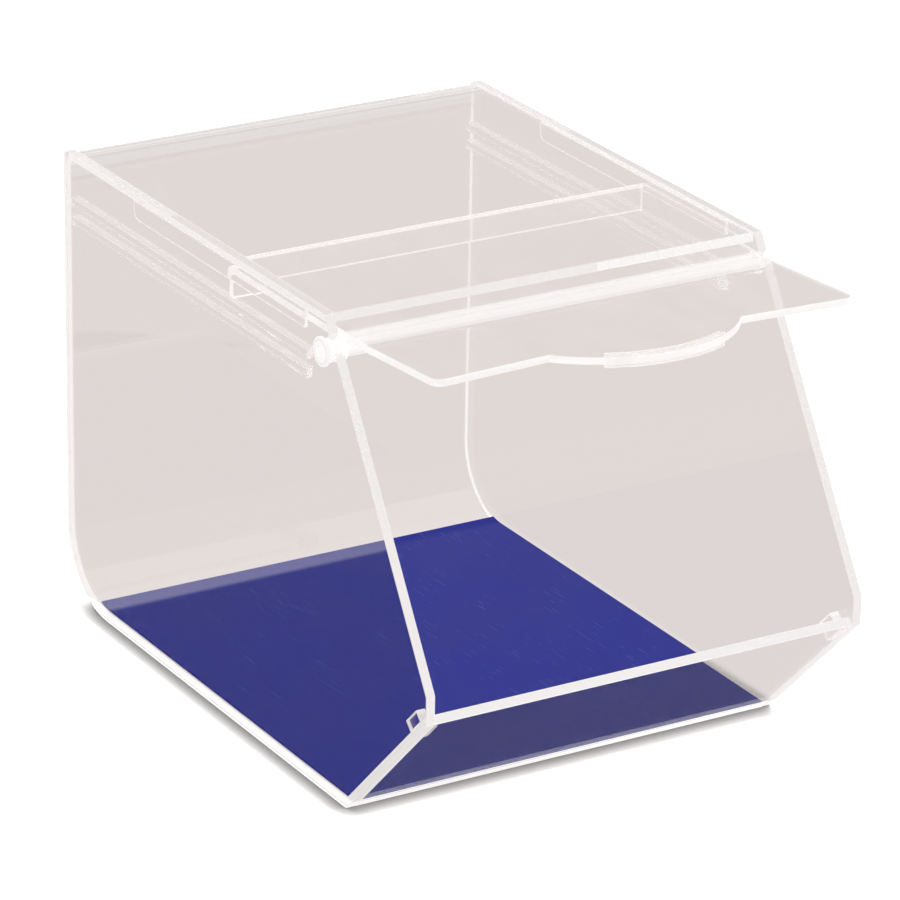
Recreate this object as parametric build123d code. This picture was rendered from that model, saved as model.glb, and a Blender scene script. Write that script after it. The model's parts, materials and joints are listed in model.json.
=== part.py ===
from build123d import *
from math import asin, atan2, cos, degrees, pi, radians, sin, tan
import os

# Clear acrylic candy bin with a sliding scoop lid that runs over a roller. Millimetres.
# Frame: +X right, -Y front, +Z up. The origin is the middle of the flat underside.
# Side profiles are drawn with x as the distance in front of the back wall and y as the height.

# ---- body ----
body_width = 200.0
body_height = 200.0
body_depth = 300.0
sheet = 4.0
top_depth = 220.0              # how far the top sheet reaches forward
mouth_bottom = 72.0            # height at which the slanted mouth ends
lip_top = 60.0                 # height at which the scoop-shaped front begins
lip_angle = 45.0               # slope of the front lip from level
rear_radius = 35.0             # outside of the large bend behind the floor
top_bend_radius = 7.0          # outside of the small bend behind the top
panel_rear_radius = 3.0        # side panels, top rear corner
panel_corner_radius = 2.0      # side panels, other corners

# ---- floor liner ----
liner_thickness = 1.2
liner_gap = 0.4                # to the side panels and the lip
liner_wrap = 14.0              # degrees that it climbs up the rear bend

# ---- rails and guide strips on the side panels ----
rail_width = 4.0               # out from the panel
rail_height = 4.0
rail_pitch = 8.0               # from the upper rail to the lower one
rail_rear_gap = 0.5            # to the back wall
rail_setback = 16.0            # behind the top sheet's front edge
rail_nose_radius = 3.5         # front corner away from the panel
strip_thickness = 1.5
strip_height = 7.8
strip_length = 142.0
strip_setback = 18.0           # behind the top sheet's front edge
strip_corner_radius = 4.0      # rear lower corner

# ---- lid ----
lid_sheet = 3.0
lid_headroom = 2.0             # to the top sheet
lid_side_gap = 0.2             # to what stands nearest at each side
lid_rest = 138.5               # its rear face from the back wall, as the lid stands
lid_flat_length = 104.0        # from the rear face to the upward bend
lid_front_length = 48.0        # from the bend to the front edge beside the bulge
lid_front_sweep = 3.6          # how much further forward the front corners reach
lid_front_angle = 3.75         # how far the front is turned up
lid_front_bend_radius = 25.0
lid_corner_radius = 4.5
flange_height = 14.0           # over all, down to the foot that slides on the rails
flange_bend_radius = 4.0       # outside
flange_foot_gap = 0.05         # running gap over the rails
bulge_width = 86.4             # finger bulge of the front edge
bulge_rise = 21.7

# ---- grip strip pressed over the bulge ----
grip_length = 55.0
grip_offset = -1.2             # sideways from the middle
grip_leg = 2.6
grip_wall = 1.0
grip_fit = 0.02
grip_edge_break = 0.4

# ---- roller ----
roller_diameter = 7.6
roller_bore = 5.4
roller_lid_gap = 0.3
roller_inset = 3.5             # axis behind the slanted edge of the panels, square to it
neck_diameter = 7.0
neck_clearance = 0.05          # radial, in the notch
roller_end_play = 0.1          # between each side panel and the discs
disc_diameter = 10.2
disc_thickness = 1.4
plug_length = 10.0             # inside the tube
plug_fit = 0.02                # radial
hub_diameter = 9.6
hub_length = 2.5
cap_diameter = 12.0
cap_thickness = 1.6
cap_edge_radius = 0.6
cap_boss_diameter = 6.2
cap_boss_height = 0.5
cap_pin_diameter = 3.0
cap_pin_length = 4.0

# ---- stop blocks inside the lip ----
stop_width = 4.0
stop_length = 10.4
stop_height = 5.0              # off the lip
stop_drop = 5.5                # below the lip's top edge

# ---- derived places ----
inner_half = body_width / 2 - sheet
floor_front = body_depth - lip_top / tan(radians(lip_angle))
back_y = (rear_radius + floor_front) / 2
ceiling = body_height - sheet
mouth_angle = degrees(atan2(body_depth - top_depth, body_height - mouth_bottom))

lid_top = ceiling - lid_headroom
lid_under = lid_top - lid_sheet
flange_foot = lid_top - flange_height
lid_half = inner_half - max(strip_thickness, disc_thickness + roller_end_play) - lid_side_gap
lid_bend = lid_rest + lid_flat_length
bulge_radius = (bulge_width**2 / 4 + bulge_rise**2) / (2 * bulge_rise)
bulge_centre = bulge_radius - lid_front_length - bulge_rise

roller_z = lid_under - roller_lid_gap - roller_diameter / 2
roller_reach = top_depth + (body_height - roller_z) * tan(radians(mouth_angle))
roller_reach -= roller_inset / cos(radians(mouth_angle))
disc_inside = inner_half - roller_end_play - disc_thickness
hub_inside = body_width / 2 + roller_end_play
cap_inside = hub_inside + hub_length

rail_top = flange_foot - flange_foot_gap

# ---- working planes ----
profile_plane = Plane((0, back_y, 0), x_dir=(0, -1, 0), z_dir=(-1, 0, 0))
lip_plane = Plane(
    (0, back_y - floor_front, 0),
    x_dir=(1, 0, 0),
    z_dir=(0, -sin(radians(lip_angle)), -cos(radians(lip_angle))),
)
scoop_plane = Plane(
    (0, back_y - lid_bend, lid_top),
    x_dir=(1, 0, 0),
    z_dir=(0, sin(radians(lid_front_angle)), cos(radians(lid_front_angle))),
)
roller_plane = Plane((0, back_y - roller_reach, roller_z), x_dir=(1, 0, 0), z_dir=(0, -1, 0))
roller_axis = Axis(roller_plane.origin, (1, 0, 0))


def across(profile, half_width):
    return extrude(profile_plane * profile, half_width, both=True)


def beside(profile, inside, thickness):
    """Left piece from a side profile, from a distance off the middle outwards."""
    return extrude(profile_plane.offset(inside) * profile, thickness)


def bent_sheet(points, radii, thickness):
    """Profile of a sheet folded along a line that follows its outer face."""
    with BuildSketch() as section:
        with BuildLine() as path:
            FilletPolyline(*points, radius=radii)
            offset(amount=thickness, side=Side.RIGHT)
        make_face()
    return section.sketch


def half_section(points):
    """Half section of a left end piece of the roller from its (distance off the middle, radius)."""
    return make_face(Polyline([(-x, r) for x, r in points], close=True))


def turned(section):
    return revolve(roller_plane * section, axis=roller_axis)


def panel_outline():
    corners = [
        (0, body_height),
        (top_depth, body_height),
        (body_depth, mouth_bottom),
        (body_depth, lip_top),
        (floor_front, 0),
        (0, 0),
    ]
    outline = make_face(Polyline(corners, close=True))
    radii = [panel_rear_radius] + [panel_corner_radius] * 4 + [rear_radius]
    for corner, radius in zip(corners, radii):
        vertex = outline.vertices().sort_by_distance((*corner, 0))[0]
        outline = fillet(vertex, radius)
    return outline


def side_panel():
    neck_room = neck_diameter / 2 + neck_clearance
    way_out = 3 * roller_inset
    notch = Circle(neck_room) + Pos(way_out / 2, 0) * Rectangle(way_out, 2 * neck_room)
    notch = Pos(roller_reach, roller_z) * Rot(0, 0, 90 - mouth_angle) * notch
    return beside(panel_outline() - notch, inner_half, sheet)


def body_shell():
    line = [(floor_front + 2 * sheet, 0), (0, 0), (0, body_height), (top_depth, body_height)]
    shell = across(bent_sheet(line, [rear_radius, top_bend_radius], sheet), inner_half)
    return split(shell, bisect_by=lip_plane, keep=Keep.BOTTOM)


def front_lip():
    slope_length = lip_top / sin(radians(lip_angle))
    blank = Rectangle(2 * inner_half, slope_length, align=(Align.CENTER, Align.MIN))
    lip = extrude(lip_plane * blank, -sheet)
    return split(lip, bisect_by=Plane.XY.offset(sheet), keep=Keep.TOP)


def floor_liner():
    inner_radius = rear_radius - sheet
    lip_foot = floor_front + sheet / tan(radians(lip_angle)) - sheet / sin(radians(lip_angle))
    with BuildSketch() as section:
        with BuildLine():
            CenterArc((rear_radius, rear_radius), inner_radius, 270 - liner_wrap, liner_wrap)
            Line((rear_radius, sheet), (lip_foot - liner_gap, sheet))
            offset(amount=liner_thickness, side=Side.LEFT)
        make_face()
    return across(section.sketch, inner_half - liner_gap)


def rail(top):
    """Left rail, drawn from above with its front corner rounded."""
    front = top_depth - rail_setback
    length = front - sheet - rail_rear_gap
    bar = Rectangle(rail_width, length, align=(Align.MIN, Align.MIN))
    nose = bar.vertices().sort_by_distance((rail_width, 0))[0]
    bar = fillet(nose, rail_nose_radius)
    return Pos(-inner_half, back_y - front, top - rail_height) * extrude(bar, rail_height)


def guide_strip():
    front = top_depth - strip_setback
    strip = Rectangle(strip_length, strip_height)
    rear_corner = strip.vertices().sort_by_distance((-strip_length, -strip_height))[0]
    strip = fillet(rear_corner, strip_corner_radius)
    strip = Pos(front - strip_length / 2, ceiling - strip_height / 2) * strip
    return beside(strip, inner_half - strip_thickness, strip_thickness)


def stop_block():
    slope_length = lip_top / sin(radians(lip_angle))
    along = slope_length - stop_drop - stop_length / 2
    place = Pos(-inner_half + stop_width / 2, along, -sheet - stop_height / 2)
    return lip_plane * place * Box(stop_width, stop_length, stop_height)


def lid_plan():
    """Front of the lid seen square to its turned-up part, forward being -y."""
    corner = lid_front_length + lid_front_sweep
    half_bulge = bulge_width / 2
    outline = [
        (-lid_half, lid_flat_length + corner),
        (-lid_half, -corner),
        (-half_bulge, -lid_front_length),
        (half_bulge, -lid_front_length),
        (lid_half, -corner),
        (lid_half, lid_flat_length + corner),
    ]
    plan = make_face(Polyline(outline, close=True))
    front_corners = plan.vertices().group_by(Axis.Y)[0]
    plan = fillet(front_corners, lid_corner_radius)
    bulge = Pos(0, bulge_centre) * Circle(bulge_radius)
    bulge &= Pos(0, -lid_front_length) * Rectangle(bulge_width, 2 * bulge_rise)
    return plan + bulge


def lid_panel():
    reach = lid_front_length + 2 * bulge_rise
    line = [
        (lid_rest, flange_foot),
        (lid_rest, lid_top),
        (lid_bend, lid_top),
        (
            lid_bend + reach * cos(radians(lid_front_angle)),
            lid_top + reach * sin(radians(lid_front_angle)),
        ),
    ]
    blank = across(bent_sheet(line, [flange_bend_radius, lid_front_bend_radius], lid_sheet), lid_half)
    cutter = extrude(scoop_plane * lid_plan(), 4 * flange_height, both=True)
    return blank & cutter


def lid_grip():
    width = grip_leg + grip_wall
    middle_radius = bulge_radius + grip_wall - width / 2
    span = (grip_length - width) / middle_radius
    heading = -pi / 2 + asin(grip_offset / bulge_radius)
    arc = CenterArc((0, bulge_centre), middle_radius, degrees(heading - span / 2), degrees(span))
    strip = extrude(SlotArc(arc, width), lid_sheet / 2 + grip_wall, both=True)
    layers = strip.edges().group_by(Axis.Z)
    strip = chamfer(layers[0] + layers[-1], grip_edge_break)
    slot = Pos(0, bulge_centre) * Circle(bulge_radius + grip_fit)
    strip -= extrude(slot, lid_sheet / 2, both=True)
    return scoop_plane.offset(-lid_sheet / 2) * strip


def roller_tube():
    wall = (roller_diameter - roller_bore) / 2
    return turned(Pos(0, roller_bore / 2 + wall / 2) * Rectangle(2 * disc_inside, wall))


def roller_disc():
    hole = roller_bore / 2
    rim = disc_diameter / 2
    outside = disc_inside + disc_thickness
    outline = [(disc_inside, hole), (disc_inside, rim), (outside, rim), (outside, hole)]
    return turned(half_section(outline))


def roller_plug():
    """Left plug, with a hub outside the panel that holds the cap."""
    shank = roller_bore / 2 - plug_fit
    shoulder = disc_inside + disc_thickness
    socket = cap_pin_diameter / 2 + plug_fit
    socket_end = cap_inside - cap_pin_length - plug_fit
    outline = [
        (disc_inside - plug_length, 0),
        (disc_inside - plug_length, shank),
        (shoulder, shank),
        (shoulder, neck_diameter / 2),
        (hub_inside, neck_diameter / 2),
        (hub_inside, hub_diameter / 2),
        (cap_inside, hub_diameter / 2),
        (cap_inside, socket),
        (socket_end, socket),
        (socket_end, 0),
    ]
    return turned(half_section(outline))


def roller_flush_plug():
    """Plug of the other end, level with the outside of the panel."""
    shank = roller_bore / 2 - plug_fit
    shoulder = disc_inside + disc_thickness
    end = body_width / 2
    outline = [
        (disc_inside - plug_length, 0),
        (disc_inside - plug_length, shank),
        (shoulder, shank),
        (shoulder, neck_diameter / 2),
        (end, neck_diameter / 2),
        (end, 0),
    ]
    return mirror(turned(half_section(outline)), about=Plane.YZ)


def roller_cap():
    face = cap_inside + cap_thickness
    boss = cap_boss_diameter / 2
    rim = cap_diameter / 2
    pin_end = cap_inside - cap_pin_length
    outline = [
        (pin_end, 0),
        (pin_end, cap_pin_diameter / 2),
        (cap_inside, cap_pin_diameter / 2),
        (cap_inside, rim),
        (face, rim),
        (face, boss),
        (face + cap_boss_height, boss),
        (face + cap_boss_height, 0),
    ]
    section = half_section(outline)
    outer_edge = section.vertices().sort_by_distance((-face, rim, 0))[0]
    return turned(fillet(outer_edge, cap_edge_radius))


single_pieces = {
    "body_shell": body_shell(),
    "front_lip_panel": front_lip(),
    "floor_liner": floor_liner(),
    "lid_panel": lid_panel(),
    "lid_grip": lid_grip(),
    "roller_tube": roller_tube(),
    "left_roller_plug": roller_plug(),
    "right_roller_plug": roller_flush_plug(),
    "left_roller_cap": roller_cap(),
}
left_pieces = {
    "side_panel": side_panel(),
    "upper_rail": rail(rail_top),
    "lower_rail": rail(rail_top - rail_pitch),
    "guide_strip": guide_strip(),
    "stop_block": stop_block(),
    "roller_disc": roller_disc(),
}

os.makedirs("parts", exist_ok=True)
for name, piece in single_pieces.items():
    export_step(piece, f"parts/{name}.step")
for name, piece in left_pieces.items():
    export_step(piece, f"parts/left_{name}.step")
    export_step(mirror(piece, about=Plane.YZ), f"parts/right_{name}.step")
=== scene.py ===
import json
from math import cos, radians, sin, tan
import bmesh
import bpy
from mathutils import Matrix, Vector


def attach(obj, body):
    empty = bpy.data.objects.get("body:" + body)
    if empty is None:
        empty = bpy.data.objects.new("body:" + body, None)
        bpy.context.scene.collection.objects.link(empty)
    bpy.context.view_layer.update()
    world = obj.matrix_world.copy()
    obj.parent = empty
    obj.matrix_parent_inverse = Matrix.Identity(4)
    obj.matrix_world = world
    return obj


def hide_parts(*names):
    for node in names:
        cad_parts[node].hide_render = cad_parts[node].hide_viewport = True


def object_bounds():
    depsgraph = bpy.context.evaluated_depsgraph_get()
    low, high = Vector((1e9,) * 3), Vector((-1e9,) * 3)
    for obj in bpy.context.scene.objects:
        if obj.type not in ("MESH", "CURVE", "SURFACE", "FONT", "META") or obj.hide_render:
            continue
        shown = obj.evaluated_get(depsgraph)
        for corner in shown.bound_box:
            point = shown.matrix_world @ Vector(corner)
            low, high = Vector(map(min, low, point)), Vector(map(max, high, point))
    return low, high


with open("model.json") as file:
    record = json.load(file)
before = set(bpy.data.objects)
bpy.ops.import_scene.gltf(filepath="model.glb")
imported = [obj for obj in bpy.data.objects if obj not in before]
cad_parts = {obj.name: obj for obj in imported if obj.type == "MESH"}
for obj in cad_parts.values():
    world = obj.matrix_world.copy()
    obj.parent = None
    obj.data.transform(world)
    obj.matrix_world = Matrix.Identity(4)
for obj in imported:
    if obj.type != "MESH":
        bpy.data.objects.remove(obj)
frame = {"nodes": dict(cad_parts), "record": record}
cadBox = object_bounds()
nodes = frame["nodes"]
record = frame["record"]
bodyOf = {name: body for body, names in record["behaviour"]["bodies"].items() for name in names}
mm = 0.001
bodyEdge = {"side": 0.1, "foot": -0.1025}   # half width, and y of the lip's foot
print("frame loaded,", len(nodes), "nodes")

camera = {
    "azimuth": -31.083,      # degrees, 0 looks along +Y
    "elevation": 22.16,
    "roll": 1.008,
    "distance": 2.12238,
    "lens": 208.54,          # mm
    "sensor": 36,            # mm
    "centre": (0, -0.0025, 0.12),
    "across": 0.003865,      # aim moved across and up the picture
    "up": -0.021942,
}


def makeCamera():
    azimuth, elevation, roll = (radians(camera[k]) for k in ("azimuth", "elevation", "roll"))
    back = Vector((sin(azimuth) * cos(elevation), -cos(azimuth) * cos(elevation), sin(elevation)))
    level = Vector((0, 0, 1)).cross(back).normalized()
    upright = back.cross(level)
    right = level * cos(roll) + upright * sin(roll)
    up = upright * cos(roll) - level * sin(roll)
    aim = Vector(camera["centre"]) + right * camera["across"] + up * camera["up"]
    data = bpy.data.cameras.new("camera")
    data.lens, data.sensor_width = camera["lens"], camera["sensor"]
    data.clip_start, data.clip_end = 0.05, 60
    eye = bpy.data.objects.new("camera", data)
    turn = Matrix((right, up, back)).transposed().to_4x4()
    eye.matrix_world = Matrix.Translation(aim + back * camera["distance"]) @ turn
    bpy.context.collection.objects.link(eye)
    bpy.context.scene.camera = eye


class Value:                          # one output of a node, with arithmetic
    def __init__(self, maker, socket):
        self.maker, self.socket = maker, socket

    def out(self, name):              # another output of the same node
        return Value(self.maker, self.socket.node.outputs[name])

    def maths(self, operation, first, second):
        return self.maker.add("ShaderNodeMath", {"operation": operation}, {0: first, 1: second})

    def __add__(self, other):
        return self.maths("ADD", self, other)

    def __sub__(self, other):
        return self.maths("SUBTRACT", self, other)

    def __rsub__(self, other):
        return self.maths("SUBTRACT", other, self)

    def __mul__(self, other):
        return self.maths("MULTIPLY", self, other)

    def __pow__(self, other):
        return self.maths("POWER", self, other)

    def __gt__(self, other):
        return self.maths("GREATER_THAN", self, other)

    def __lt__(self, other):
        return self.maths("LESS_THAN", self, other)

    def larger(self, other):
        return self.maths("MAXIMUM", self, other)

    __radd__, __rmul__ = __add__, __mul__


class Maker:                          # adds nodes to one tree
    def __init__(self, tree):
        self.tree = tree
        self.tree.nodes.clear()

    def add(self, kind, settings=None, inputs=None, output=0):
        node = self.tree.nodes.new(kind)
        for name, setting in (settings or {}).items():
            if name == "stops":
                ramp = node.color_ramp.elements
                while len(ramp) < len(setting):
                    ramp.new(0.5)
                for element, (place, colour) in zip(ramp, setting):
                    element.position, element.color = place, colour
            elif name == "choices":
                while len(node.index_switch_items) < setting:
                    node.index_switch_items.new()
            else:
                setattr(node, name, setting)
        for name, given in (inputs or {}).items():
            for one in given if isinstance(given, list) else [given]:
                if isinstance(one, Value):
                    self.tree.links.new(one.socket, node.inputs[name])
                else:
                    node.inputs[name].default_value = one
        return Value(self, node.outputs[output] if len(node.outputs) else None)

    def mixColour(self, factor, first, second):
        settings = {"data_type": "RGBA", "blend_type": "MIX"}
        return self.add("ShaderNodeMix", settings, {0: factor, 6: first, 7: second}, output=2)

    def mixShader(self, factor, first, second):
        return self.add("ShaderNodeMixShader", inputs={0: factor, 1: first, 2: second})


def makeMaterial(name):
    material = bpy.data.materials.new(name)
    material.use_nodes = True
    return material, Maker(material.node_tree)


studio = {
    "backdrop": (0.742, 0.692, 0.675, 1),   # warm pale grey that the clear walls show
    "mirroredShade": (0.004, 0.004, 0.004, 1),       # painted shade: dark patches on the floor left of the bin and under its lip, seen only in reflections
    "mirroredShadeWidth": 0.194,                     # metres out from the left panel
    "mirroredShadeRear": 0.109,                      # y of the left patch's rear edge
    "mirroredShadeUnderLip": 0.036,                  # how far the front patch reaches out from the foot
    "mirroredShadeUnderFoot": 0.012,                 # and back under it
    "mirroredShadeSlant": 1.28,                      # slope of the front patch's right end
    "mirroredShadeEdge": 0.005,                      # softness of their edges
    "dome": 0.8,
    "floorSize": 12,                        # half its width
    "floorDrop": 0.05 * mm,
    "floorTone": (0.95, 0.95, 0.95, 1),
    "floorBoost": 0.9,                      # keeps the open floor white for the camera
    "contactReach": (0.0085, 0.0095),       # shade in front of the foot and left of it
    "contactShade": 0.06,
    "contactFall": 1.8,                     # how fast it fades
    "contactSamples": 16,
    "contactLean": (0.62, 0, 0.78),         # most of it falls on the left
    "lampAim": (0, 0, 0.1),
    "keyPower": 6.0,
    "keySize": 2.0,
    "keyPlace": (0.82, 0.05, 1.7),
    "fillPower": 8.0,
    "fillSize": 3.2,
    "fillPlace": (-1.3, -1.4, 1.5),
}


def addLamp(name, power, size, place):
    data = bpy.data.lights.new(name, "AREA")
    data.shape, data.size, data.energy = "DISK", size, power
    lamp = bpy.data.objects.new(name, data)
    lamp.location = place
    aim = Vector(studio["lampAim"]) - lamp.location
    lamp.rotation_euler = aim.to_track_quat("-Z", "Y").to_euler()
    bpy.context.collection.objects.link(lamp)


def within(maker, value, limit):    # 1 below the limit, fading to 0 above it
    edge = {"Value": value, "From Min": limit + studio["mirroredShadeEdge"], "From Max": limit}
    return maker.add("ShaderNodeMapRange", {"interpolation_type": "SMOOTHSTEP"}, edge)


# painted shade in reflections: dark patches on the floor near the foot that only once-mirrored
# light sees
def cardTone(maker):
    place = maker.add("ShaderNodeTexCoord").out("Object")
    xyz = maker.add("ShaderNodeSeparateXYZ", inputs={"Vector": place})
    x, y = xyz.out("X"), xyz.out("Y")
    left, front = -bodyEdge["side"] - x, bodyEdge["foot"] - y
    beside = (left > 0) * within(maker, left, studio["mirroredShadeWidth"])
    beside = beside * within(maker, y, studio["mirroredShadeRear"])
    below = (front > -studio["mirroredShadeUnderFoot"]) * within(maker, front, studio["mirroredShadeUnderLip"])
    below = below * within(maker, front * studio["mirroredShadeSlant"] + x, bodyEdge["side"])
    mirrors = maker.add("ShaderNodeLightPath").out("Glossy Depth")
    mirrored = (mirrors > 0) * (mirrors < 2)     # only light that was mirrored once sees this painted shade
    return maker.mixColour(beside.larger(below) * mirrored, studio["backdrop"], studio["mirroredShade"])


def makeStudio():
    world = bpy.data.worlds.new("dome")
    bpy.context.scene.world = world
    world.use_nodes = True
    maker = Maker(world.node_tree)
    path = maker.add("ShaderNodeLightPath")
    inGlass, inGloss = path.out("Is Transmission Ray"), path.out("Is Glossy Ray")
    throughBin = maker.add("ShaderNodeClamp", inputs={"Value": inGloss + inGlass})
    tone = maker.mixColour(throughBin, (1, 1, 1, 1), studio["backdrop"])
    seen = path.out("Is Camera Ray").larger(throughBin)
    strength = seen * (1 - studio["dome"]) + studio["dome"]
    light = maker.add("ShaderNodeBackground", inputs={"Color": tone, "Strength": strength})
    maker.add("ShaderNodeOutputWorld", inputs={"Surface": light})

    material, maker = makeMaterial("paleFloor")
    path = maker.add("ShaderNodeLightPath")
    inGlass, inGloss = path.out("Is Transmission Ray"), path.out("Is Glossy Ray")
    lean = maker.add("ShaderNodeCombineXYZ", inputs=dict(zip("XYZ", studio["contactLean"])))
    place = maker.add("ShaderNodeTexCoord").out("Object")
    onLeft = maker.add("ShaderNodeSeparateXYZ", inputs={"Vector": place}).out("X")
    onLeft = onLeft < -bodyEdge["side"]
    front, left = studio["contactReach"]
    reach = {"Distance": onLeft * (left - front) + front, "Normal": lean}
    settings = {"samples": studio["contactSamples"]}
    openness = maker.add("ShaderNodeAmbientOcclusion", settings, reach).out("AO")
    deepest = studio["contactShade"]
    shade = openness ** studio["contactFall"] * (1 - deepest) + deepest
    white = maker.mixColour(shade, (0, 0, 0, 1), studio["floorTone"])
    boost = shade * path.out("Is Camera Ray") * studio["floorBoost"]
    boost = maker.mixColour(boost, (0, 0, 0, 1), (1, 1, 1, 1))
    matt = maker.add("ShaderNodeBsdfDiffuse", inputs={"Color": white})
    extra = maker.add("ShaderNodeBsdfDiffuse", inputs={"Color": boost})
    matt = maker.add("ShaderNodeAddShader", inputs={0: matt, 1: extra})
    # what glass shows of the floor: the backdrop, with the painted shade in reflections
    backdrop = maker.add("ShaderNodeEmission", inputs={"Color": cardTone(maker), "Strength": 1.0})
    throughBin = maker.add("ShaderNodeClamp", inputs={"Value": inGloss + inGlass})
    surface = maker.mixShader(throughBin, matt, backdrop)
    maker.add("ShaderNodeOutputMaterial", inputs={"Surface": surface})
    material.cycles.emission_sampling = "NONE"

    mesh = bpy.data.meshes.new("floor")
    far = studio["floorSize"]
    corners = [(-far, -far, 0), (far, -far, 0), (far, far, 0), (-far, far, 0)]
    mesh.from_pydata(corners, [], [(0, 1, 2, 3)])
    mesh.materials.append(material)
    floor = bpy.data.objects.new("floor", mesh)
    floor.location.z = cadBox[0].z - studio["floorDrop"]
    bpy.context.collection.objects.link(floor)
    addLamp("key", studio["keyPower"], studio["keySize"], studio["keyPlace"])
    addLamp("fill", studio["fillPower"], studio["fillSize"], studio["fillPlace"])


makeCamera()
makeStudio()
print("camera and studio made")

acrylic = {
    "tint": (0.998, 0.996, 0.995, 1),
    "index": 1.491,
    "haze": 0.01,             # most roughness of a polished face
    "hazeScale": 14.0,
    "cutHaze": 0.02,          # roughness of the clear share of a cut face
    "frostRoughness": (0.3, 0.2),    # least, and how much its marks add
    "depth": 12,              # bounces after which light in a sheet takes the backdrop's tone
    "frostAndGlowColour": (0.97, 0.945, 0.938, 1),
    "brightest": 1.25,        # most painted glow, an emission for the light that an edge carries
    "footHeight": 4.4 * mm,
    "footGlow": 0.4,          # more painted glow at the ends of the bottom sheet
}


def clearSurface(maker, haze):
    glass = maker.add("ShaderNodeBsdfPrincipled", inputs={
        "Base Color": acrylic["tint"], "Roughness": haze, "IOR": acrylic["index"],
        "Transmission Weight": 1.0,
    })
    trapped = maker.add("ShaderNodeLightPath").out("Ray Depth") > acrylic["depth"]
    rest = maker.add("ShaderNodeEmission", inputs={"Color": studio["backdrop"], "Strength": 1.0})
    return maker.mixShader(trapped, glass, rest)


def finish(material, maker, surface):
    maker.add("ShaderNodeOutputMaterial", inputs={"Surface": surface})
    material.cycles.emission_sampling = "NONE"
    return material


def polishedFace(name):
    material, maker = makeMaterial(name)
    place = maker.add("ShaderNodeTexCoord").out("Object")
    haze = {"Vector": place, "Scale": acrylic["hazeScale"], "Detail": 3.0}
    haze = maker.add("ShaderNodeTexNoise", inputs=haze)
    return finish(material, maker, clearSurface(maker, haze * acrylic["haze"]))


def distanceFrom(maker, place, axis):    # from a line along X through the axis's y and z
    offset = {"operation": "SUBTRACT"}
    centred = {0: place, 1: (0, axis["y"], axis["z"])}
    centred = maker.add("ShaderNodeVectorMath", offset, centred)
    flat = {0: centred, 1: (0, 1, 1)}
    flat = maker.add("ShaderNodeVectorMath", {"operation": "MULTIPLY"}, flat)
    return maker.add("ShaderNodeVectorMath", {"operation": "LENGTH"}, {0: flat}, output="Value")


def bendZone(maker, place, zone):    # 1 in the strip along the rear bend that gets frost marks and painted glow, 0 beyond it
    distance = distanceFrom(maker, place, zone)
    limits = {"Value": distance, "From Min": zone["end"], "From Max": zone["full"]}
    return maker.add("ShaderNodeMapRange", {"interpolation_type": "SMOOTHSTEP"}, limits)


# painted highlight rings on the cap: the glow steps up and down with the distance from the roller's
# axis
def turnedRings(maker, place):
    radius = distanceFrom(maker, place, glowRingLook)
    stops = {"stops": [(at, (tone, tone, tone, 1)) for at, tone in glowRingLook["glow"]]}
    return maker.add("ShaderNodeValToRGB", stops, {"Fac": radius * (1 / glowRingLook["reach"])})


# a frosted surface with a painted glow: an emission standing in for light carried through the sheet
# and for highlights
def frosted(name, look):
    material, maker = makeMaterial(name)
    place = maker.add("ShaderNodeTexCoord").out("Object")
    stretched = maker.add("ShaderNodeMapping", inputs={"Vector": place, "Scale": look["grain"]})
    marksAndGlowNoise = {"Vector": stretched, "Scale": 1.0, "Detail": 2.0}
    marksAndGlowNoise = maker.add("ShaderNodeTexNoise", inputs=marksAndGlowNoise)
    paint = tuple(c * look["paint"] for c in acrylic["frostAndGlowColour"][:3]) + (1,)
    height = maker.add("ShaderNodeSeparateXYZ", inputs={"Vector": place}).out("Z")
    # painted glow: brighter at the foot of the bottom sheet, and brighter and darker streaks from
    # the marks
    foot = (height < acrylic["footHeight"]) * acrylic["footGlow"] if look.get("foot") else 0.0
    glow = turnedRings(maker, place) if look.get("paintedRings") else look["glow"]
    glow = (marksAndGlowNoise - 0.5) * look.get("glowStreaks", 0) + foot + glow
    glow = maker.mixColour(glow * (1 / acrylic["brightest"]), (0, 0, 0, 1), acrylic["frostAndGlowColour"])
    smoothest, rougher = acrylic["frostRoughness"]
    frostAndGlow = maker.add("ShaderNodeBsdfPrincipled", inputs={
        "Base Color": paint, "Roughness": marksAndGlowNoise * rougher + smoothest, "IOR": acrylic["index"],
        "Emission Color": glow, "Emission Strength": acrylic["brightest"],
    })
    spread = (marksAndGlowNoise - 0.5) * look["unevenness"] + look["cover"]
    haze = look.get("haze", acrylic["cutHaze"])
    if "below" in look:
        spread = spread * (height < look["below"])
    if "zone" in look:
        zone = bendZone(maker, place, look["zone"])
        spread, haze = spread * zone, zone * haze
    return finish(material, maker, maker.mixShader(spread, clearSurface(maker, haze), frostAndGlow))


glowRingLook = {
    "y": -86.56 * mm, "z": 186.9 * mm,      # the roller's axis
    "reach": 6 * mm,
    "glow": [                                # painted glow, by share of the reach
        (0, 0.98), (0.12, 0.9), (0.3, 0.98), (0.42, 0.82),
        (0.55, 0.93), (0.7, 0.88), (0.8, 0.76), (0.88, 0.9),
    ],
}
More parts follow.
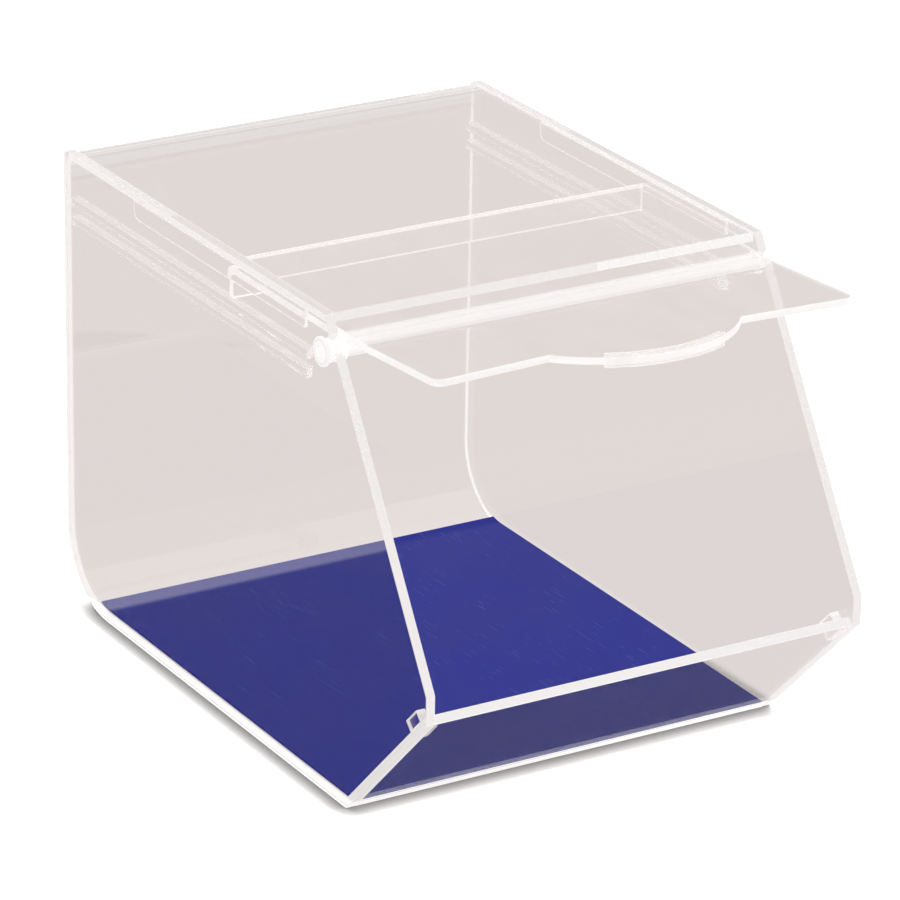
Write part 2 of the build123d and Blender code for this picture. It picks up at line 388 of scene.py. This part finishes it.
# cover: the share of the surface that scatters; glow: painted light, an emission standing in for
# light that the sheet carries to it; paint: its own colour; grain: marks per metre along x, y and
# z; haze: roughness of the rest
frostAndGlowLooks = {
    "cutAcrylicEdge": {
        "cover": 0.6, "glow": 0.87, "paint": 0.1, "grain": (500, 500, 500),
        "unevenness": 0.06, "foot": True,
    },
    "panelTopEdge": {
        "cover": 0.22, "glow": 0.85, "paint": 0.1, "grain": (300, 6, 300),
        "unevenness": 0.3,
    },
    "lidEdge": {
        "cover": 0.8, "glow": 0.88, "paint": 0.1, "grain": (500, 500, 500),
        "unevenness": 0.06,
    },
    "lidFace": {
        "cover": 0.02, "glow": 0.8, "paint": 0.2, "grain": (90, 30, 90), "unevenness": 0.16,
        "haze": 0.01,
    },
    # painted highlight lines on the lid's rear bend and the foot of its flange
    "lidHighlightLines": {
        "cover": 0.8, "glow": 1.05, "paint": 0.1, "grain": (3, 300, 300), "unevenness": 0.1,
    },
    # painted highlight lines on the bevelled arrises
    "arrisHighlight": {
        "cover": 0.45, "glow": 0.85, "paint": 0.2, "grain": (300, 300, 300),
        "unevenness": 0.1,
    },
    "lidArrisHighlight": {
        "cover": 0.85, "glow": 0.95, "paint": 0.2, "grain": (300, 300, 300),
        "unevenness": 0.1,
    },
    "gluedEnd": {
        "cover": 0.85, "glow": 0.86, "paint": 0.1, "grain": (200, 200, 200),
        "unevenness": 0.05, "foot": True,
    },
    "lipTopEdge": {
        "cover": 0.85, "glow": 0.78, "paint": 0.08, "grain": (8, 500, 500),
        "unevenness": 0.1,
    },
    "gluedFoot": {
        "cover": 0.85, "glow": 0.95, "paint": 0.1, "grain": (100, 300, 300),
        "unevenness": 0.1, "haze": 0.005, "below": 5.2 * mm,
    },
    # painted highlight: a streaky glow along the shell's rear top bend
    "bendGlowStrip": {
        "cover": 0.4, "glow": 0.7, "paint": 0.1, "grain": (2, 450, 450), "unevenness": 0.6,
        "glowStreaks": 1.2, "haze": 0.05,
        "zone": {"y": 130.5 * mm, "z": 193 * mm, "full": 6.5 * mm, "end": 9 * mm},
    },
    "sawnRailFace": {
        "cover": 0.3, "glow": 0.85, "paint": 0.1, "grain": (400, 6, 400),
        "unevenness": 0.05,
    },
    "glowRingCap": {
        "paintedRings": True, "cover": 0.9, "paint": 0.05, "grain": (300, 300, 300),
        "unevenness": 0.1,
    },
    "turnedAcrylic": {
        "cover": 0.6, "glow": 0.92, "paint": 0.1, "grain": (300, 300, 300),
        "unevenness": 0.1,
    },
    "rollerTubeWall": {
        "cover": 0.45, "glow": 0.9, "paint": 0.05, "grain": (0.3, 420, 420),
        "unevenness": 0.4, "glowStreaks": 1.0,
    },
    "clearVinyl": {
        "cover": 0.25, "glow": 0.85, "paint": 0.2, "grain": (12, 300, 300),
        "unevenness": 0.5,
    },
}

linerLook = {
    "deep": (0.004, 0.01, 0.26, 1),
    "light": (0.009, 0.02, 0.33, 1),
    "scratch": (0.1, 0.15, 0.5, 1),
    "paintedPaleReflection": 0.8,       # how far the liner shows the backdrop's tone in the walls' mirror images: a painted reflection
    "cloudScale": 18.0,
    "roughness": (0.35, 0.15),       # least, and how much the clouds add
    "shine": 0.15,
    "scratchTurns": (20, 75, 140),   # degrees
    "scratchGrain": (1400, 60, 1),
    "scratchAbove": 0.72,     # how rare a scratch is
    "scratchStrength": 0.5,
    "patchScale": 45.0,       # scratches come in patches
    "patchAbove": 0.5,
}


def scratchedBlue(name):
    material, maker = makeMaterial(name)
    place = maker.add("ShaderNodeTexCoord").out("Object")
    cloud = {"Vector": place, "Scale": linerLook["cloudScale"], "Detail": 4.0}
    cloud = maker.add("ShaderNodeTexNoise", inputs=cloud)
    lines = None
    for turn in linerLook["scratchTurns"]:
        along = maker.add("ShaderNodeMapping", inputs={
            "Vector": place, "Rotation": (0, 0, radians(turn)),
            "Scale": linerLook["scratchGrain"],
        })
        hair = {"Vector": along, "Scale": 1.0, "Detail": 1.0}
        hair = maker.add("ShaderNodeTexNoise", inputs=hair) > linerLook["scratchAbove"]
        lines = hair if lines is None else lines + hair
    patches = {"Vector": place, "Scale": linerLook["patchScale"]}
    patches = maker.add("ShaderNodeTexNoise", inputs=patches) > linerLook["patchAbove"]
    lines = maker.add("ShaderNodeClamp", inputs={"Value": lines * patches})
    tone = maker.mixColour(cloud, linerLook["deep"], linerLook["light"])
    tone = maker.mixColour(lines * linerLook["scratchStrength"], tone, linerLook["scratch"])
    smoothest, rougher = linerLook["roughness"]
    sheet = maker.add("ShaderNodeBsdfPrincipled", inputs={
        "Base Color": tone, "Roughness": cloud * rougher + smoothest,
        "Specular IOR Level": linerLook["shine"],
    })
    # painted reflection: in the walls' mirror images the liner shows the backdrop's tone instead of
    # its blue
    mirrored = maker.add("ShaderNodeLightPath").out("Glossy Depth") > 0
    rest = maker.add("ShaderNodeEmission", inputs={"Color": studio["backdrop"], "Strength": 1.0})
    surface = maker.mixShader(mirrored * linerLook["paintedPaleReflection"], sheet, rest)
    return finish(material, maker, surface)


clear = polishedFace("clearAcrylic")
frostAndGlowOf = {name: frosted(name, look) for name, look in frostAndGlowLooks.items()}
cutEdge, gluedEnd = frostAndGlowOf["cutAcrylicEdge"], frostAndGlowOf["gluedEnd"]
# arris: the painted highlight on bevelled arrises
arris, lidArrisHighlight = frostAndGlowOf["arrisHighlight"], frostAndGlowOf["lidArrisHighlight"]
sawnRail, turned = frostAndGlowOf["sawnRailFace"], frostAndGlowOf["turnedAcrylic"]
blue = scratchedBlue("royalBlueSheet")
print("materials made")

polish = {
    "width": 0.25 * mm,       # of the bevel on every arris
    "steps": 2,
    "sharp": 30,              # degrees from which an edge gets one
    "weld": 0.002 * mm,
    "flat": 0.5,              # degrees up to which faces are joined
    "glueGap": 0.02 * mm,     # keeps glued faces apart
}


def polished(name, materials, choose=None, made=None, width=None):
    shape = bmesh.new()
    shape.from_mesh(made or nodes[name].data)
    bmesh.ops.remove_doubles(shape, verts=shape.verts, dist=polish["weld"])
    flat = radians(polish["flat"])
    bmesh.ops.dissolve_limit(shape, angle_limit=flat, verts=shape.verts, edges=shape.edges)
    shape.normal_update()
    for face in shape.faces:
        face.smooth = True
        middle = face.calc_center_median()
        face.material_index = choose(face.normal, middle) if choose else 0
    for vertex in shape.verts:
        vertex.co -= vertex.normal * polish["glueGap"]
    mesh = bpy.data.meshes.new(name + "Polished")
    shape.to_mesh(mesh)
    shape.free()
    for material in materials:
        mesh.materials.append(material)
    piece = bpy.data.objects.new(name + "Polished", mesh)
    bpy.context.collection.objects.link(piece)
    bevel = piece.modifiers.new("arris", "BEVEL")
    bevel.width, bevel.segments = width or polish["width"], polish["steps"]
    bevel.limit_method, bevel.angle_limit = "ANGLE", radians(polish["sharp"])
    # the bevel's faces take the last material, on most pieces a painted highlight line
    bevel.material = len(materials) - 1
    weigh = piece.modifiers.new("flatFaces", "WEIGHTED_NORMAL")
    weigh.mode, weigh.weight = "FACE_AREA", 100
    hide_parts(name)
    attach(piece, bodyOf[name])
    return piece


lidSizes = {
    "half width": 94.3 * mm,
    "sheet": 3 * mm,
    "rear face": -1 * mm,             # y
    "top": 194 * mm,                  # z of the flat part's upper face
    "flange height": 14 * mm,
    "flange bend": 4 * mm,            # outside radius
    "front bend line": -105 * mm,     # y
    "front bend": 25 * mm,            # radius on the upper face
    "front length": 48 * mm,          # from the bend line to the edge beside the bulge
    "corner sweep": 3.6 * mm,         # how much further forward the corners reach
    "corner radius": 4.5 * mm,
    "bulge half width": 43.2 * mm,
    "bulge radius": 53.85 * mm,
    "bulge centre": -15.85 * mm,      # in front of the bend line is negative
}
turnUp = radians(3.75)                # of the lid's front
gripSizes = {
    "middle radius": 53.03 * mm,
    "slot radius": 53.87 * mm,
    "bulge centre": -15.85 * mm,
    "width": 3.6 * mm,
    "height": 5 * mm,
    "sheet": 3 * mm,
    "first angle": -2.0775,           # radians, at the left end
    "span": 0.9688,
    "front bend line": -105 * mm,
    "top": 194 * mm,
}
gripEdge = 0.4 * mm                   # width of its bevel
fineness = {"corner": 12, "disc": 360, "strip": 72, "stripEnd": 48}   # steps of each round


def openTree(name, sizes):           # a new tree with one named input for each size
    tree = bpy.data.node_groups.new(name, "GeometryNodeTree")
    for size, given in sizes.items():
        socket = tree.interface.new_socket(size, in_out="INPUT", socket_type="NodeSocketFloat")
        socket.default_value = given
    tree.interface.new_socket("Geometry", in_out="OUTPUT", socket_type="NodeSocketGeometry")
    maker = Maker(tree)
    entry = maker.add("NodeGroupInput")
    return maker, {size: entry.out(size) for size in sizes}


def closeTree(maker, geometry, material):
    geometry = maker.add("GeometryNodeRealizeInstances", inputs={"Geometry": geometry})
    geometry = {"Geometry": geometry, "Material": material}
    geometry = maker.add("GeometryNodeSetMaterial", inputs=geometry)
    maker.add("NodeGroupOutput", inputs={"Geometry": geometry})


def vector(maker, x=0.0, y=0.0, z=0.0):
    return maker.add("ShaderNodeCombineXYZ", inputs={"X": x, "Y": y, "Z": z})


def outline(maker, corners, radii, closed):     # a polyline with rounded corners
    index = maker.add("GeometryNodeInputIndex")
    place, radius = (
        maker.add("GeometryNodeIndexSwitch", {"data_type": kind, "choices": len(given)},
                  {"Index": index, **{str(i): one for i, one in enumerate(given)}})
        for kind, given in (("VECTOR", corners), ("FLOAT", radii))
    )
    points = maker.add("GeometryNodePoints", inputs={"Count": len(corners), "Position": place})
    curve = maker.add("GeometryNodePointsToCurves", inputs={"Points": points})
    curve = maker.add("GeometryNodeSetSplineCyclic", inputs={"Geometry": curve, "Cyclic": closed})
    rounding = {"Curve": curve, "Count": fineness["corner"], "Radius": radius, "Limit Radius": True}
    return maker.add("GeometryNodeFilletCurve", {"mode": "POLY"}, rounding)


def swept(maker, path, profile):
    section = {"Curve": path, "Profile Curve": profile, "Fill Caps": True}
    return maker.add("GeometryNodeCurveToMesh", inputs=section)


def combined(maker, operation, first, second):
    meshes = {0: first, 1: second} if operation == "DIFFERENCE" else {1: [first, second]}
    return maker.add("GeometryNodeMeshBoolean", {"operation": operation, "solver": "EXACT"}, meshes)


def disc(maker, radius, depth, centre):
    drum = {"Vertices": fineness["disc"], "Radius": radius, "Depth": depth}
    drum = maker.add("GeometryNodeMeshCylinder", inputs=drum)
    moved = {"Geometry": drum, "Translation": vector(maker, y=centre)}
    return maker.add("GeometryNodeTransform", inputs=moved)


def lidTree(maker, size):
    half, sheet, top = size["half width"], size["sheet"], size["top"]
    rear, middle = size["rear face"] - sheet * 0.5, top - sheet * 0.5
    bend = size["front bend line"] - sheet * (0.5 * tan(turnUp / 2))
    reach, behind, tall = 0.1, 0.15, 0.06       # well past the lid, to be cut off
    line = [
        vector(maker, y=rear, z=top - size["flange height"]),
        vector(maker, y=rear, z=middle),
        vector(maker, y=bend, z=middle),
        vector(maker, y=bend - reach * cos(turnUp), z=middle + reach * sin(turnUp)),
    ]
    radii = [0.0, size["flange bend"] - sheet * 0.5, size["front bend"] + sheet * 0.5, 0.0]
    section = {"Width": half * 2, "Height": sheet}
    section = maker.add("GeometryNodeCurvePrimitiveQuadrilateral", {"mode": "RECTANGLE"}, section)
    blank = swept(maker, outline(maker, line, radii, False), section)

    front, halfBulge = size["front length"] * -1, size["bulge half width"]
    corner = (size["front length"] + size["corner sweep"]) * -1
    plan = [
        vector(maker, half * -1, behind), vector(maker, half * -1, corner),
        vector(maker, halfBulge * -1, front), vector(maker, halfBulge, front),
        vector(maker, half, corner), vector(maker, half, behind),
    ]
    radius = size["corner radius"]
    plan = outline(maker, plan, [0.0, radius, 0.0, 0.0, radius, 0.0], True)
    upright = {"Start": (0, 0, -tall), "End": (0, 0, tall)}
    upright = maker.add("GeometryNodeCurvePrimitiveLine", {"mode": "POINTS"}, upright)
    bulge = disc(maker, size["bulge radius"], 2 * tall, size["bulge centre"])
    cutter = combined(maker, "UNION", swept(maker, upright, plan), bulge)
    cutter = maker.add("GeometryNodeTransform", inputs={
        "Geometry": cutter, "Translation": vector(maker, y=size["front bend line"], z=top),
        "Rotation": (-turnUp, 0, 0),
    })
    return combined(maker, "INTERSECT", blank, cutter)


def gripTree(maker, size):
    sweep = maker.add("GeometryNodeCurveArc", {"mode": "RADIUS"}, {
        "Resolution": fineness["strip"], "Radius": size["middle radius"],
        "Start Angle": size["first angle"], "Sweep Angle": size["span"],
    })
    section = {"Width": size["width"], "Height": size["height"]}
    section = maker.add("GeometryNodeCurvePrimitiveQuadrilateral", {"mode": "RECTANGLE"}, section)
    band = swept(maker, sweep, section)
    ends = maker.add("GeometryNodeCurveToPoints", {"mode": "COUNT"}, {"Curve": sweep, "Count": 2})
    tip = {"Vertices": fineness["stripEnd"], "Radius": size["width"] * 0.5}
    tip = maker.add("GeometryNodeMeshCylinder", inputs={**tip, "Depth": size["height"]})
    ends = maker.add("GeometryNodeInstanceOnPoints", inputs={"Points": ends, "Instance": tip})
    ends = maker.add("GeometryNodeRealizeInstances", inputs={"Geometry": ends})
    strip = combined(maker, "UNION", band, ends)
    strip = maker.add("GeometryNodeTransform", inputs={
        "Geometry": strip, "Translation": vector(maker, y=size["bulge centre"]),
    })
    slot = disc(maker, size["slot radius"], size["sheet"], size["bulge centre"])
    strip = combined(maker, "DIFFERENCE", strip, slot)
    drop = size["sheet"] * -0.5
    place = vector(
        maker, y=drop * sin(turnUp) + size["front bend line"], z=drop * cos(turnUp) + size["top"],
    )
    return maker.add("GeometryNodeTransform", inputs={
        "Geometry": strip, "Translation": place, "Rotation": (-turnUp, 0, 0),
    })


def shaped(name, build, sizes):      # the plain mesh that a tree gives
    maker, inputs = openTree(name, sizes)
    closeTree(maker, build(maker, inputs), clear)
    holder = bpy.data.objects.new(name, bpy.data.meshes.new(name))
    bpy.context.collection.objects.link(holder)
    shape = holder.modifiers.new(name, "NODES")
    shape.node_group = maker.tree
    for socket in maker.tree.interface.items_tree:
        if socket.name in sizes:
            shape[socket.identifier] = sizes[socket.name]
    graph = bpy.context.evaluated_depsgraph_get()
    mesh = bpy.data.meshes.new_from_object(holder.evaluated_get(graph), depsgraph=graph)
    bpy.data.objects.remove(holder)
    print(name, len(mesh.vertices), "vertices")
    return mesh


def panelFace(normal, centre):        # which of the piece's materials a face gets
    if abs(normal.x) > 0.9 or normal.z < -0.9:
        return 0
    return 2 if normal.z > 0.9 else 1


def bent(normal):
    return abs(normal.y) > 0.05 and abs(normal.z) > 0.05


def shellFace(normal, centre):
    if abs(normal.x) > 0.5:
        return 1
    if centre.y < -0.08 and abs(normal.z) < 0.9:     # cut front edges
        return 3
    return 2 if centre.y > -0.082 else 3


def lipFace(normal, centre):
    if abs(normal.x) > 0.5:
        return 1
    return 2 if normal.z > 0.5 and normal.y < -0.5 else 0


# index 1 is the painted highlight on the flange's foot and the rear bend
def lidFace(normal, centre):
    sideways = abs(normal.x) >= 0.5
    foot = normal.z < -0.9 and centre.z < 0.1805
    if foot or (not sideways and centre.y > -0.06 and bent(normal)):
        return 1
    return 0 if not sideways and (centre.y > -0.15 or abs(normal.z) > 0.9) else 2


def railFace(normal, centre):
    return 1 if normal.z > 0.5 else 0


def stripFace(normal, centre):
    return 1 if abs(normal.x) < 0.5 and normal.y > -0.5 else 0


def blockFace(normal, centre):
    return 0 if abs(normal.x) > 0.5 else 1


panelLooks = [clear, cutEdge, frostAndGlowOf["panelTopEdge"], arris]
shellLooks = [clear, gluedEnd, frostAndGlowOf["bendGlowStrip"], cutEdge, arris]
lipLooks = [frostAndGlowOf["gluedFoot"], gluedEnd, frostAndGlowOf["lipTopEdge"], arris]
lidLooks = [frostAndGlowOf["lidFace"], frostAndGlowOf["lidHighlightLines"], frostAndGlowOf["lidEdge"], lidArrisHighlight]
gripLooks = [frostAndGlowOf["clearVinyl"], lidArrisHighlight]

for side in ("left", "right"):
    polished(side + "_side_panel", panelLooks, panelFace)
    polished(side + "_upper_rail", [clear, sawnRail], railFace)
    polished(side + "_lower_rail", [clear, sawnRail], railFace)
    polished(side + "_guide_strip", [clear, cutEdge], stripFace)
    polished(side + "_stop_block", [clear, cutEdge, arris], blockFace)
    polished(side + "_roller_disc", [turned, arris])
    polished(side + "_roller_plug", [turned, arris])
polished("left_roller_cap", [frostAndGlowOf["glowRingCap"], arris])
polished("body_shell", shellLooks, shellFace)
polished("front_lip_panel", lipLooks, lipFace)
polished("lid_panel", lidLooks, lidFace, shaped("lidShape", lidTree, lidSizes))
gripShape = shaped("gripShape", gripTree, gripSizes)
polished("lid_grip", gripLooks, made=gripShape, width=gripEdge)
polished("roller_tube", [frostAndGlowOf["rollerTubeWall"]])
polished("floor_liner", [blue])
print("pieces made")

scene = bpy.context.scene
scene.view_settings.view_transform = "Standard"
scene.cycles.max_bounces = 24
scene.cycles.transmission_bounces = 24
scene.cycles.glossy_bounces = 12
scene.cycles.blur_glossy = 0
